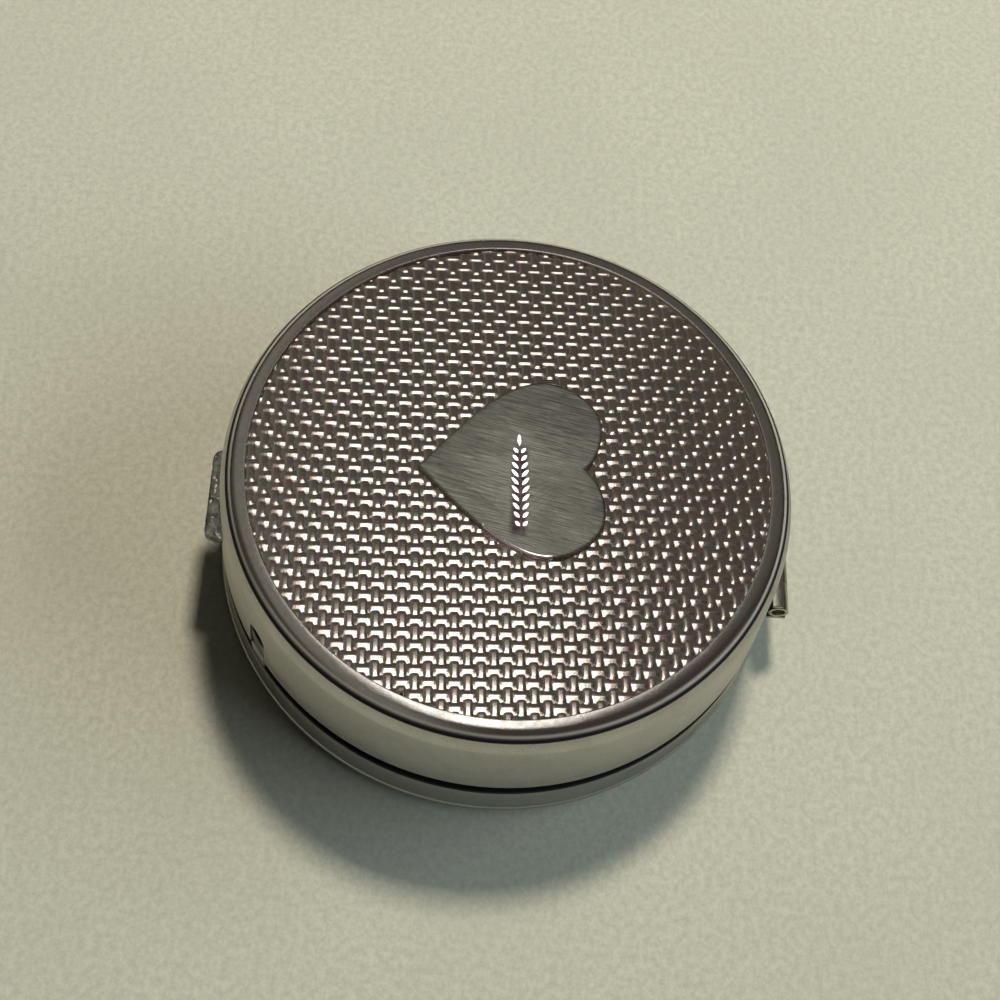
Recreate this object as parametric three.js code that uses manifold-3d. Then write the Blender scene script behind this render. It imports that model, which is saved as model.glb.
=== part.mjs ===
// A small round hinged jewelry case in plated metal, closed, standing on its flat bottom.
// Millimetres, +Z up. The origin is the centre of the flat bottom. The thumb lug is on the -Y side,
// the hinge on the +Y side with its pin along X, and the heart on the lid points near the lug.

import * as THREE from "three";
import { mergeVertices } from "three/addons/utils/BufferGeometryUtils.js";
import Module from "manifold-3d";

const wasm = await Module();
wasm.setup();

// Driving dimensions of the case
const caseRadius = 25.0; // outside of the lid skirt at its lower edge
const flareShare = 0.043; // how much every wall widens, for its height, towards the bottom
const sheet = 0.45; // thickness of the drawn metal
const bandTop = 5.2; // upper edge of the base band above the bottom
const seamGap = 1.4; // open reveal between the base band and the lid skirt
const skirtHeight = 9.2; // lid skirt, from its lower edge to the shoulder
const ringSteps = 72; // facets round a full ring

// Lid
const shoulderRound = 0.3;
const creaseWidth = 0.2; // groove between the shoulder and the bead
const beadRadius = 0.72; // round section of the bright rim bead
const beadSink = 0.2; // how far the bead's section centre stands above the lid plate
const panelGap = 0.08; // between the bead and the woven panel
const panelThickness = 0.62;
const heartTurn = 3; // degrees that the heart stands turned from the line between lug and hinge
const heartLength = 15.9;
const heartWidth = 16.8;
const heartThickness = 0.5;
const heartBevel = 0.12;

// Thumb lug on the skirt
const lugWidth = 8.8;
const lugShift = 1.0; // middle of the lug beside the middle of the case
const lugReach = 0.95; // beyond the skirt's greatest radius
const lugThickness = 0.8;
const lugHeight = 2.5; // underside of the lug above the skirt's lower edge
const lugCorner = 0.9;
const solderGap = 0.06;

// Outlet notch in the skirt, and the tongue on the base that closes its foot
const outletAngle = -55.4; // degrees from +X
const outletWidth = 2.4;
const outletHeight = 4.4;
const tongueClearance = 0.15;
const tongueRise = 0.25; // top of the tongue above the skirt's lower edge
const outletBore = 0.95; // radius of the matching hole in the collar

// Base
const bandSetback = 0.08; // base band inside the line of the skirt
const footBeadRadius = 0.42;
const footBeadHeight = 1.15;
const footBeadProud = 0.13;
const flatInset = 2.1; // flat of the bottom inside the case radius
const dishRise = 0.85; // the bottom's turned-up rim
const rimGap = 0.12;
const padThickness = 1.3;
const padGap = 0.25;
const padCrown = 0.12;
const padFlatShare = 0.7; // of the pad's radius, where its crown begins to fall

// Collar that the lid slides over
const fitClearance = 0.25;
const collarWall = 0.4;
const collarRise = 4.5; // above the skirt's lower edge
const collarFoot = 1.45;
const collarLip = 0.15;
const seatDepth = 0.5; // height of the seat bead that carries the lid
const seatClearance = 0.1;
const catchRise = 2.2; // catch pips above the skirt's lower edge
const catchRadius = 0.5;
const catchProud = 0.1;
const catchAngles = [-70, -110];

// Hinge
const hingeLength = 14.1;
const barrelGap = 0.05; // between the barrel and the collar
const knuckleRadius = 0.9;
const knuckleWall = 0.28;
const pinClearance = 0.05;
const pinRecess = 1.2; // of the pin inside the open ends of the barrel
const knuckleCount = 5;
const knuckleGap = 0.15;
const leafThickness = 0.35;
const leafClearance = 0.1; // between a leaf and the knuckles that turn past it
const lidLeafOverhang = 0.2; // outer edge of each leaf beyond the hinge axis
const baseLeafOverhang = 0.9;
const webThickness = 0.5;
const notchClearance = 0.15;
const overrun = 1.0; // extra length of every cutting shape

// Heights and radii that follow from the sizes above
const skirtFoot = bandTop + seamGap;
const shoulderTop = skirtFoot + skirtHeight;
const hingeZ = bandTop + seamGap / 2;
const hingeY = collarRadius(hingeZ) + barrelGap + knuckleRadius;
const knuckleBore = knuckleRadius - knuckleWall;
const flatRadius = caseRadius - flatInset;
const leafInnerFace = knuckleRadius + leafClearance;
const leafOuterFace = leafInnerFace + leafThickness;

// Outside of the lid skirt, carried on down the whole height of the case
function wallRadius(z) {
  return caseRadius - flareShare * (z - skirtFoot);
}

function collarRadius(z) {
  return wallRadius(z) - sheet - fitClearance;
}

function bandRadius(z) {
  return wallRadius(z) - bandSetback;
}

const polished = new THREE.MeshStandardMaterial({ color: 0xb9bbb5, roughness: 0.22, metalness: 1.0 });
const bright = new THREE.MeshStandardMaterial({ color: 0xe2e0dc, roughness: 0.12, metalness: 1.0 });
const embossed = new THREE.MeshStandardMaterial({ color: 0xa79fa0, roughness: 0.3, metalness: 1.0 });
const brushed = new THREE.MeshStandardMaterial({ color: 0x8d9186, roughness: 0.45, metalness: 1.0 });
const dull = new THREE.MeshStandardMaterial({ color: 0x74756f, roughness: 0.5, metalness: 1.0 });
const felt = new THREE.MeshStandardMaterial({ color: 0x3d1420, roughness: 0.95, metalness: 0.0 });

// Solids

// Closed solid of a geometry: shared corners merged and triangles without area left out
function solidOf(geometry) {
  const plain = geometry.clone();
  plain.deleteAttribute("normal");
  plain.deleteAttribute("uv");
  const merged = mergeVertices(plain, caseRadius * 1e-6);
  const index = merged.index.array;
  const corners = [];
  for (let i = 0; i < index.length; i += 3) {
    const [a, b, c] = index.slice(i, i + 3);
    if (a !== b && b !== c && c !== a) {
      corners.push(a, b, c);
    }
  }
  const mesh = new wasm.Mesh({
    numProp: 3,
    vertProperties: new Float32Array(merged.attributes.position.array),
    triVerts: new Uint32Array(corners),
  });
  return new wasm.Manifold(mesh);
}

function geometryOf(solid) {
  const mesh = solid.getMesh();
  const geometry = new THREE.BufferGeometry();
  geometry.setAttribute("position", new THREE.BufferAttribute(new Float32Array(mesh.vertProperties), 3));
  geometry.setIndex(new THREE.BufferAttribute(new Uint32Array(mesh.triVerts), 1));
  geometry.computeVertexNormals();
  return geometry;
}

// Ring or disc turned from a profile of [radius, height] points that runs anticlockwise
function turned(profile) {
  const points = profile.map(([r, z]) => new THREE.Vector2(r, z));
  const geometry = new THREE.LatheGeometry(points, ringSteps);
  geometry.rotateX(Math.PI / 2);
  return solidOf(geometry);
}

// Profile of a ring: its last point is its first one again
function ring(profile) {
  return turned([...profile, profile[0]]);
}

function box(low, high) {
  const size = high.map((value, i) => value - low[i]);
  const geometry = new THREE.BoxGeometry(...size);
  geometry.translate(...low.map((value, i) => value + size[i] / 2));
  return solidOf(geometry);
}

// Round bar along X between two places on the hinge axis
function barOnHinge(radius, fromX, toX) {
  const geometry = new THREE.CylinderGeometry(radius, radius, toX - fromX, 28);
  geometry.rotateZ(Math.PI / 2);
  geometry.translate((fromX + toX) / 2, hingeY, hingeZ);
  return solidOf(geometry);
}

// Points of an arc in a profile, from one angle to another in degrees
function arc(centreR, centreZ, radius, fromDeg, toDeg, steps) {
  const points = [];
  for (let i = 0; i <= steps; i++) {
    const angle = THREE.MathUtils.degToRad(fromDeg + ((toDeg - fromDeg) * i) / steps);
    points.push([centreR + radius * Math.cos(angle), centreZ + radius * Math.sin(angle)]);
  }
  return points;
}

// A shape drawn at the +X side of the case, turned round Z to stand at the outlet's angle
function atOutlet(geometry) {
  geometry.rotateZ(THREE.MathUtils.degToRad(outletAngle));
  return solidOf(geometry);
}

// Lid: one drawn cup with its open side down
const plateTop = shoulderTop;
const plateUnder = shoulderTop - sheet;
const shoulderCentreR = wallRadius(shoulderTop - shoulderRound) - shoulderRound;

function lidShell() {
  const inner = (z) => wallRadius(z) - sheet;
  const cup = turned([
    [0, plateUnder],
    [inner(plateUnder) - shoulderRound, plateUnder],
    [inner(plateUnder - shoulderRound), plateUnder - shoulderRound],
    [inner(skirtFoot), skirtFoot],
    [wallRadius(skirtFoot), skirtFoot],
    ...arc(shoulderCentreR, shoulderTop - shoulderRound, shoulderRound, 0, 90, 4),
    [0, plateTop],
  ]);
  return cup.subtract(outletCut()).subtract(hingeCut());
}

// Arch-topped notch, open at the skirt's lower edge
function outletCut() {
  const half = outletWidth / 2;
  const arch = new THREE.Shape();
  arch.moveTo(-half, -overrun);
  arch.lineTo(half, -overrun);
  arch.lineTo(half, outletHeight - half);
  arch.absarc(0, outletHeight - half, half, 0, Math.PI, false);
  arch.closePath();
  const depth = sheet + 2 * overrun;
  const geometry = new THREE.ExtrudeGeometry(arch, { depth, bevelEnabled: false, curveSegments: 12 });
  geometry.rotateX(Math.PI / 2);
  geometry.rotateZ(Math.PI / 2);
  geometry.translate(caseRadius - sheet - overrun, 0, skirtFoot);
  return atOutlet(geometry);
}

// Straight notch round the hinge, in the skirt above the leaf and in the band below it
function hingeCut() {
  const half = hingeLength / 2 + notchClearance;
  return box(
    [-half, caseRadius / 2, hingeZ - leafOuterFace],
    [half, hingeY + overrun, hingeZ + leafOuterFace],
  );
}

// Rim bead, a half-round wire lying on the lid plate
const beadCentreR = shoulderCentreR - creaseWidth - beadRadius;
const panelRadius = beadCentreR - beadRadius - panelGap;

function rimBead() {
  const dip = THREE.MathUtils.radToDeg(Math.asin(beadSink / beadRadius));
  return ring(arc(beadCentreR, plateTop + beadSink, beadRadius, -dip, 180 + dip, 12));
}

function wovenPanel() {
  const edge = panelThickness / 6;
  return turned([
    [0, plateTop],
    [panelRadius, plateTop],
    [panelRadius, plateTop + panelThickness - edge],
    [panelRadius - edge, plateTop + panelThickness],
    [0, plateTop + panelThickness],
  ]);
}

// One half of the heart: [share of the half width, share of the length measured from the tip]
const heartTipShare = [0, 0];
const heartSideShares = [[0.31, 0.161], [0.976, 0.425], [1.0, 0.675]];
const heartLobeShares = [[1.0, 0.82], [0.774, 1.0], [0.488, 1.0]];
const heartCleftShares = [[0.274, 1.0], [0.083, 0.959], [0, 0.896]];

function heartPlaque() {
  const inset = heartBevel;
  const half = heartWidth / 2 - inset;
  const length = heartLength - 2 * inset;
  const place = ([x, y], side) => [side * x * half, (y - 0.5) * length];
  const outline = new THREE.Shape();
  outline.moveTo(...place(heartTipShare, 1));
  for (const curve of [heartSideShares, heartLobeShares, heartCleftShares]) {
    outline.bezierCurveTo(...curve.flatMap((point) => place(point, 1)));
  }
  const back = [
    [heartCleftShares[1], heartCleftShares[0], heartLobeShares[2]],
    [heartLobeShares[1], heartLobeShares[0], heartSideShares[2]],
    [heartSideShares[1], heartSideShares[0], heartTipShare],
  ];
  for (const curve of back) {
    outline.bezierCurveTo(...curve.flatMap((point) => place(point, -1)));
  }
  const geometry = new THREE.ExtrudeGeometry(outline, {
    depth: heartThickness - 2 * heartBevel,
    bevelThickness: heartBevel,
    bevelSize: heartBevel,
    bevelSegments: 1,
    curveSegments: 10,
  });
  geometry.rotateZ(THREE.MathUtils.degToRad(heartTurn));
  geometry.translate(0, 0, plateTop + panelThickness + heartBevel);
  return solidOf(geometry);
}

// Thumb lug: a straight-edged lip whose inner side follows the round skirt
function thumbLug() {
  const seat = wallRadius(skirtFoot + lugHeight) + solderGap;
  const front = caseRadius + lugReach;
  const left = lugShift - lugWidth / 2;
  const right = lugShift + lugWidth / 2;
  const onSeat = (x) => -Math.sqrt(seat * seat - x * x);
  const lip = new THREE.Shape();
  lip.moveTo(left, onSeat(left));
  lip.lineTo(left, -front + lugCorner);
  lip.absarc(left + lugCorner, -front + lugCorner, lugCorner, Math.PI, 1.5 * Math.PI, false);
  lip.lineTo(right - lugCorner, -front);
  lip.absarc(right - lugCorner, -front + lugCorner, lugCorner, 1.5 * Math.PI, 2 * Math.PI, false);
  lip.lineTo(right, onSeat(right));
  lip.absarc(0, 0, seat, Math.atan2(onSeat(right), right), Math.atan2(onSeat(left), left), true);
  const depth = lugThickness;
  const geometry = new THREE.ExtrudeGeometry(lip, { depth, bevelEnabled: false, curveSegments: 8 });
  geometry.translate(0, 0, skirtFoot + lugHeight);
  return solidOf(geometry);
}

// Base band with the rolled bead at its foot
function baseBand() {
  const beadR = bandRadius(footBeadHeight) + footBeadProud - footBeadRadius;
  const meet = THREE.MathUtils.radToDeg(Math.acos((footBeadRadius - footBeadProud) / footBeadRadius));
  const under = footBeadHeight - footBeadRadius;
  const edge = sheet / 4;
  const band = ring([
    [bandRadius(under) - sheet, under],
    ...arc(beadR, footBeadHeight, footBeadRadius, -90, meet, 8),
    [bandRadius(bandTop), bandTop - edge],
    [bandRadius(bandTop) - edge, bandTop],
    [bandRadius(bandTop) - sheet, bandTop],
  ]);
  return band.subtract(hingeCut());
}

// Bottom: a shallow dish, its rim turned up inside the band
const rimRadius = bandRadius(dishRise) - sheet - rimGap;

function dishHeight(r, start, base) {
  const t = Math.max(0, (r - start) / (rimRadius - start));
  return base + dishRise * t * t;
}

function baseBottom() {
  const innerFlat = flatRadius - sheet / 2;
  const steps = 4;
  const under = [];
  const over = [];
  for (let i = 0; i <= steps; i++) {
    const low = flatRadius + ((rimRadius - flatRadius) * i) / steps;
    const high = rimRadius - ((rimRadius - innerFlat) * i) / steps;
    under.push([low, dishHeight(low, flatRadius, 0)]);
    over.push([high, dishHeight(high, innerFlat, sheet)]);
  }
  return turned([[0, 0], ...under, ...over, [0, sheet]]);
}

// Lining pad on a card, resting on the dish's rim
const padRadius = collarRadius(collarFoot) - collarWall - padGap;
const padFoot = dishHeight(padRadius, flatRadius - sheet / 2, sheet) + rimGap;
const padTop = padFoot + padThickness;

function basePad() {
  const edge = padThickness / 4;
  return turned([
    [0, padFoot],
    [padRadius - edge, padFoot],
    [padRadius, padFoot + edge],
    [padRadius, padTop - padCrown - edge],
    [padRadius - edge, padTop - padCrown],
    [padRadius * padFlatShare, padTop - padCrown / 4],
    [0, padTop],
  ]);
}

// Collar: the straight neck, the seat bead that the lid rests on and two small catch pips
const collarTop = skirtFoot + collarRise;

function collar() {
  const neck = ring([
    [collarRadius(collarFoot) - collarWall, collarFoot],
    [collarRadius(collarFoot), collarFoot],
    [collarRadius(collarTop - collarLip), collarTop - collarLip],
    [collarRadius(collarTop) - collarLip, collarTop],
    [collarRadius(collarTop) - collarWall, collarTop],
  ]);
  const seatTop = skirtFoot - seatClearance;
  const seatMiddle = seatTop - seatDepth / 2;
  const seatOut = wallRadius(seatMiddle) - sheet / 2;
  const seatIn = collarRadius(seatMiddle) - collarWall / 2;
  const seat = ring([
    [seatIn, seatTop - seatDepth],
    [collarRadius(seatMiddle) + seatDepth / 8, seatTop - seatDepth],
    [seatOut, seatMiddle],
    [seatOut, seatTop],
    [seatIn, seatTop],
  ]);
  const tongueHalf = outletWidth / 2 + tongueClearance;
  const atTongue = new THREE.BoxGeometry(caseRadius / 2, 2 * tongueHalf, 2 * seatDepth);
  atTongue.translate(caseRadius, 0, seatMiddle);
  let solid = neck.add(seat.subtract(hingeCut()).subtract(atOutlet(atTongue)));
  for (const degrees of catchAngles) {
    const angle = THREE.MathUtils.degToRad(degrees);
    const z = skirtFoot + catchRise;
    const r = collarRadius(z) + catchProud - catchRadius;
    const pip = new THREE.SphereGeometry(catchRadius, 12, 8);
    pip.translate(r * Math.cos(angle), r * Math.sin(angle), z);
    const hollowSide = turned([
      [0, z - catchRadius],
      [collarRadius(z) - collarWall / 2, z - catchRadius],
      [collarRadius(z) - collarWall / 2, z + catchRadius],
      [0, z + catchRadius],
    ]);
    solid = solid.add(solidOf(pip).subtract(hollowSide));
  }
  const bore = new THREE.CylinderGeometry(outletBore, outletBore, 2 * (collarWall + overrun), 24);
  bore.rotateZ(Math.PI / 2);
  bore.translate(collarRadius(skirtFoot), 0, skirtFoot + outletHeight - outletWidth / 2 - outletBore / 2);
  return solid.subtract(atOutlet(bore));
}

// Tongue that rises from the band's edge, flush with the skirt, into the outlet notch
function tongue() {
  const top = skirtFoot + tongueRise;
  const strip = ring([
    [wallRadius(bandTop) - sheet, bandTop],
    [bandRadius(bandTop), bandTop],
    [wallRadius(skirtFoot), skirtFoot],
    [wallRadius(top), top],
    [wallRadius(top) - sheet, top],
  ]);
  const width = outletWidth - 2 * tongueClearance;
  const keep = new THREE.BoxGeometry(caseRadius / 2, width, 2 * (top - bandTop));
  keep.translate(caseRadius, 0, bandTop);
  return strip.intersect(atOutlet(keep));
}

// Hinge
const leafInnerEdge = collarRadius(bandTop) + leafClearance;

function leaf(low, high, overhang) {
  return box(
    [-hingeLength / 2, leafInnerEdge, hingeZ + low],
    [hingeLength / 2, hingeY + overhang, hingeZ + high],
  );
}

const knucklePitch = hingeLength / knuckleCount;

// Side is +1 for a knuckle of the lid, whose web reaches up to its leaf, and -1 for one of the base
function knuckle(index, side) {
  const fromX = -hingeLength / 2 + index * knucklePitch + (index === 0 ? 0 : knuckleGap / 2);
  const last = index === knuckleCount - 1;
  const toX = -hingeLength / 2 + (index + 1) * knucklePitch - (last ? 0 : knuckleGap / 2);
  const low = Math.min(0, side * leafInnerFace);
  const high = Math.max(0, side * leafInnerFace);
  const web = box(
    [fromX, hingeY - webThickness / 2, hingeZ + low],
    [toX, hingeY + webThickness / 2, hingeZ + high],
  );
  const bore = barOnHinge(knuckleBore, fromX - overrun, toX + overrun);
  return barOnHinge(knuckleRadius, fromX, toX).add(web).subtract(bore);
}

function hingePin() {
  return barOnHinge(knuckleBore - pinClearance, -hingeLength / 2 + pinRecess, hingeLength / 2 - pinRecess);
}

// Assembly
function piece(name, solid, material) {
  const mesh = new THREE.Mesh(geometryOf(solid), material);
  mesh.name = name;
  return mesh;
}

const lid = new THREE.Group();
lid.add(
  piece("lid_shell", lidShell(), polished),
  piece("rim_bead", rimBead(), bright),
  piece("woven_panel", wovenPanel(), embossed),
  piece("heart_plaque", heartPlaque(), brushed),
  piece("thumb_lug", thumbLug(), polished),
  piece("lid_hinge_leaf", leaf(leafInnerFace, leafOuterFace, lidLeafOverhang), polished),
);

const base = new THREE.Group();
base.add(
  piece("base_band", baseBand(), polished),
  piece("base_bottom", baseBottom(), polished),
  piece("collar", collar(), dull),
  piece("outlet_tongue", tongue(), polished),
  piece("base_pad", basePad(), felt),
  piece("base_hinge_leaf", leaf(-leafOuterFace, -leafInnerFace, baseLeafOverhang), polished),
  piece("hinge_pin", hingePin(), dull),
);

for (let index = 0; index < knuckleCount; index++) {
  const onLid = index % 2 === 1;
  const order = Math.floor(index / 2) + 1;
  const name = onLid ? `lid_knuckle_${order}` : `base_knuckle_${order}`;
  (onLid ? lid : base).add(piece(name, knuckle(index, onLid ? 1 : -1), polished));
}

const jewelryCase = new THREE.Group();
jewelryCase.add(base, lid);

export default jewelryCase;
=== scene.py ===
"""A small round hinged jewelry case in plated metal, closed, standing on pale paper.

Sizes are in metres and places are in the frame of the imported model: +Z up, the thumb lip on the
-Y side and the hinge on the +Y side with its pin along X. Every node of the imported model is
replaced by a finer piece that stays where the node is.
"""

import math

import bmesh
import bpy
from mathutils import Matrix, Vector


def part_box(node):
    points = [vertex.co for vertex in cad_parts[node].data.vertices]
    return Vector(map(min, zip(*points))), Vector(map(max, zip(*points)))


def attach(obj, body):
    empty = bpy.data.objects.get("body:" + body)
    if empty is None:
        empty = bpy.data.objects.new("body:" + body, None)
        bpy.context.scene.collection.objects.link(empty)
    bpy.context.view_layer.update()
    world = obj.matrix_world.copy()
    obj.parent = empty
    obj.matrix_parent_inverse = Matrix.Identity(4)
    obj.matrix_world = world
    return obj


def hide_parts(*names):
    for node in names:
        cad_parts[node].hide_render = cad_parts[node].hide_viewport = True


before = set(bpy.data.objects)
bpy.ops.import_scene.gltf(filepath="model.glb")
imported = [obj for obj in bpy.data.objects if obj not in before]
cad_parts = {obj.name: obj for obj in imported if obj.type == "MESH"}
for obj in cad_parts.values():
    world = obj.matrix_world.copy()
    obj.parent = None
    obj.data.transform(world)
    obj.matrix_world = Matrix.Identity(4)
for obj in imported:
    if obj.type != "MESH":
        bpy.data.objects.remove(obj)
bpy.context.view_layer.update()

bl_info = {
    "name": "Round Jewelry Case",
    "version": (1, 0, 0),
    "blender": (4, 5, 0),
    "location": "View3D > Sidebar > Jewelry Case",
    "description": "Models a round hinged jewelry case with a basket-weave lid",
    "category": "Object",
}

MM = 0.001
NOTHING = 1e-7


class NodeBox:
    """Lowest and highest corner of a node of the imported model, with its size by name"""

    def __init__(self, node):
        self.low, self.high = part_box(node)
        self.foot = self.low.z
        self.top = self.high.z
        self.height = self.top - self.foot
        self.radius = self.high.x
        self.middle = (self.low + self.high) / 2
        self.size = self.high - self.low


band = NodeBox("base_band")
dish = NodeBox("base_bottom")
pad = NodeBox("base_pad")
neck = NodeBox("collar")
closer = NodeBox("outlet_tongue")
cup = NodeBox("lid_shell")
rim = NodeBox("rim_bead")
disc = NodeBox("woven_panel")
heart = NodeBox("heart_plaque")
lip = NodeBox("thumb_lug")
upper_leaf = NodeBox("lid_hinge_leaf")
lower_leaf = NodeBox("base_hinge_leaf")
pin = NodeBox("hinge_pin")

hinge_axis = Vector((0, pin.middle.y, pin.middle.z))


def length_setting(name, description, default):
    return bpy.props.FloatProperty(name=name, description=description, default=default, unit="LENGTH")


def colour_setting(name, description, default):
    return bpy.props.FloatVectorProperty(
        name=name, description=description, default=default, subtype="COLOR"
    )


class CaseSizes(bpy.types.PropertyGroup):
    """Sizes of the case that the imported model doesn't give"""

    ring_steps: bpy.props.IntProperty(
        name="Ring steps", description="Facets round each turned piece", default=288, min=48
    )
    sheet: length_setting("Sheet", "Thickness of the drawn metal", 0.45 * MM)
    flare: bpy.props.FloatProperty(
        name="Flare",
        description="How much each wall widens, for its height, towards the bottom",
        default=0.043,
    )
    weave_pitch: length_setting(
        "Weave pitch", "Distance between neighbouring strands of the basket weave", 1.07 * MM
    )
    pattern_turn: bpy.props.FloatProperty(
        name="Pattern turn",
        description="How far weave and heart stand turned from the line between lip and hinge",
        default=math.radians(3),
        subtype="ANGLE",
    )
    land_width: length_setting(
        "Rim land", "Width of the nearly flat inner part of the rolled rim", 0.68 * MM
    )


class CaseFinishes(bpy.types.PropertyGroup):
    """Colours of the case and of the paper under it"""

    plate_colour: colour_setting(
        "Plated walls", "Satin plated sheet of lid and band", (0.65, 0.64, 0.615)
    )
    rim_colour: colour_setting(
        "Rolled rim", "Bright plating of the rim round the lid", (0.77, 0.74, 0.69)
    )
    weave_colour: colour_setting(
        "Basket weave", "Plating of the embossed strands", (0.68, 0.61, 0.585)
    )
    heart_colour: colour_setting("Heart", "Brushed metal of the heart plaque", (0.45, 0.45, 0.39))
    worn_colour: colour_setting(
        "Worn plate", "Handled plate of thumb lip and hinge", (0.50, 0.485, 0.41)
    )
    inner_colour: colour_setting(
        "Inner metal", "Duller metal of the neck and the hinge pin", (0.42, 0.42, 0.40)
    )
    velvet_colour: colour_setting("Velvet", "Lining pad inside the case", (0.15, 0.025, 0.055))
    paper_colour: colour_setting(
        "Paper", "Pale paper that the case stands on", (0.46, 0.468, 0.356)
    )


def sizes():
    return bpy.context.scene.case_sizes


def finishes():
    return bpy.context.scene.case_finishes


# Modelling


def leave_edit():
    bpy.ops.object.mode_set(mode="OBJECT")


def select_none():
    if bpy.context.mode != "OBJECT":
        leave_edit()
    bpy.ops.object.select_all(action="DESELECT")


def activate(obj):
    select_none()
    obj.select_set(True)
    bpy.context.view_layer.objects.active = obj


def edit(obj):
    activate(obj)
    bpy.ops.object.mode_set(mode="EDIT")


def edit_all(obj):
    """Edit mode with the whole mesh selected"""
    edit(obj)
    bpy.ops.mesh.select_all(action="SELECT")


def choose(kind, test):
    """In edit mode, leaves selected only the verts, edges or faces that pass the test"""
    mesh = bpy.context.edit_object.data
    bpy.ops.mesh.select_mode(type=kind)
    bpy.ops.mesh.select_all(action="DESELECT")
    shape = bmesh.from_edit_mesh(mesh)
    items = {"VERT": shape.verts, "EDGE": shape.edges, "FACE": shape.faces}[kind]
    for item in items:
        if test(item):
            item.select_set(True)
    shape.select_flush_mode()
    bmesh.update_edit_mesh(mesh)


def choose_place(test):
    choose("VERT", lambda vert: test(vert.co))


def move(x=0.0, y=0.0, z=0.0):
    bpy.ops.transform.translate(value=(x, y, z))


def stretch(shares, centre=(0, 0, 0)):
    bpy.ops.transform.resize(value=shares, center_override=centre)


def pull_out(step):
    """Extrudes what is selected"""
    bpy.ops.mesh.extrude_region_move(TRANSFORM_OT_translate={"value": step})


def turn_selected(angle):
    """Turns what is selected round the case's axis, anticlockwise from above"""
    bpy.ops.transform.rotate(value=-angle, orient_axis="Z", center_override=(0, 0, 0))


def turn_whole(obj, angle):
    edit_all(obj)
    turn_selected(angle)
    leave_edit()


def face_outwards():
    """Turns every face outwards and leaves edit mode"""
    bpy.ops.mesh.select_all(action="SELECT")
    bpy.ops.mesh.normals_make_consistent(inside=False)
    leave_edit()


def settle(obj):
    """Puts an object's place, turn and size in its mesh"""
    activate(obj)
    bpy.ops.object.transform_apply(location=True, rotation=True, scale=True)
    return obj


def tidy_mesh(obj):
    """Merges doubles and turns every face outwards"""
    edit_all(obj)
    bpy.ops.mesh.remove_doubles(threshold=NOTHING)
    face_outwards()
    return obj


def modify(obj, kind, **settings):
    """Adds one modifier and applies it"""
    activate(obj)
    modifier = obj.modifiers.new(kind.title(), kind)
    for key, value in settings.items():
        setattr(modifier, key, value)
    bpy.ops.object.modifier_apply(modifier=modifier.name)
    return obj


def combine(obj, tool, operation="DIFFERENCE"):
    """Boolean of obj with a tool, which is used up"""
    modify(obj, "BOOLEAN", object=tool, operation=operation, solver="EXACT")
    bpy.data.objects.remove(tool)
    return obj


def round_edges(obj, width, steps=2, angle=40):
    return modify(
        obj,
        "BEVEL",
        width=width,
        segments=steps,
        limit_method="ANGLE",
        angle_limit=math.radians(angle),
        use_clamp_overlap=True,
    )


def copy_of(obj):
    activate(obj)
    bpy.ops.object.duplicate(linked=False)
    return bpy.context.object


def join(pieces):
    select_none()
    for piece in pieces:
        piece.select_set(True)
    bpy.context.view_layer.objects.active = pieces[0]
    bpy.ops.object.join()
    return pieces[0]


def block(low, high):
    """Box between two corners"""
    low, high = Vector(low), Vector(high)
    select_none()
    bpy.ops.mesh.primitive_cube_add(size=1, location=(low + high) / 2, scale=high - low)
    return settle(bpy.context.object)


def bar(start, end, radius, steps=48):
    """Round bar between two points"""
    start, end = Vector(start), Vector(end)
    along = end - start
    select_none()
    bpy.ops.mesh.primitive_cylinder_add(
        vertices=steps,
        radius=radius,
        depth=along.length,
        location=(start + end) / 2,
        rotation=along.to_track_quat("Z", "Y").to_euler(),
    )
    return settle(bpy.context.object)


def drawn(points, closed):
    """Chain of edges through points, drawn by extruding one vertex from each point to the next"""
    points = [Vector(point) for point in points]
    select_none()
    bpy.ops.mesh.primitive_plane_add(size=MM)
    obj = bpy.context.object
    edit(obj)
    bpy.ops.mesh.merge(type="CENTER")
    move(*points[0])
    for here, there in zip(points, points[1:]):
        pull_out(there - here)
    if closed:
        bpy.ops.mesh.select_all(action="SELECT")
        ends = {0, len(points) - 1}
        choose("VERT", lambda vert: vert.index in ends)
        bpy.ops.mesh.edge_face_add()
    leave_edit()
    return obj


def raised(outline, height):
    """Slab on a closed outline, left in edit mode with its top selected"""
    slab = drawn(outline, closed=True)
    edit_all(slab)
    bpy.ops.mesh.edge_face_add()
    pull_out((0, 0, height))
    return slab


def turned(profile, closed=True, start=0.0, angle=2 * math.pi, steps=None):
    """Ring or disc spun clockwise round the case's axis from a profile of (radius, height)"""
    obj = drawn([(r, 0, z) for r, z in profile], closed)
    edit_all(obj)
    if start:
        turn_selected(start)
    whole = angle > 2 * math.pi - NOTHING
    bpy.ops.mesh.spin(
        steps=steps or sizes().ring_steps,
        angle=angle,
        use_auto_merge=whole,
        center=(0, 0, 0),
        axis=(0, 0, 1),
    )
    if not whole:
        bpy.ops.mesh.select_all(action="SELECT")
        bpy.ops.mesh.fill_holes(sides=0)
    leave_edit()
    return tidy_mesh(obj)


def cone(low, high, low_radius, high_radius):
    """Solid round piece on the case's axis, from one height and radius to another"""
    profile = [(0, low), (low_radius, low), (high_radius, high), (0, high)]
    return turned(profile, closed=False)


def arc(centre, radius, start, end, steps):
    """Points of an arc in a profile, from one angle to another in degrees"""
    points = []
    for i in range(steps + 1):
        angle = math.radians(start + (end - start) * i / steps)
        points.append((centre[0] + radius * math.cos(angle), centre[1] + radius * math.sin(angle)))
    return points


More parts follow.
